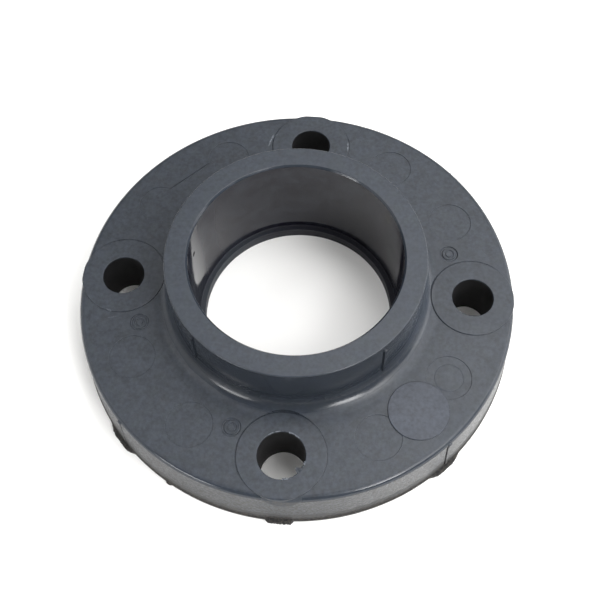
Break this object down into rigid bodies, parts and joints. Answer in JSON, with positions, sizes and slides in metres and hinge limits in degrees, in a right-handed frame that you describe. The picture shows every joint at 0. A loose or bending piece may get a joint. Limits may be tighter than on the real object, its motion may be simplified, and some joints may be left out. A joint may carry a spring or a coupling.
{
  "type": "companion flange",
  "caption": "One-piece round socket flange of grey plastic for solvent-welded pipe, with a raised hub, a deep pipe socket and bolt holes round its face.",
  "frame": {"origin": "centre of the mating face, on the bore's axis", "axes": "+Z along the bore from the mating face towards the hub's mouth; the bolt holes lie on X and Y, with the drilled-out one on -Y"},
  "size_m": [0.1914, 0.1932, 0.0532],
  "materials": {
    "grey_pipe_plastic": "satin moulded, smooth machined on the hub's face"
  },
  "bodies": {
    "root": {"flange": "grey_pipe_plastic"}
  },
  "joints": []
}
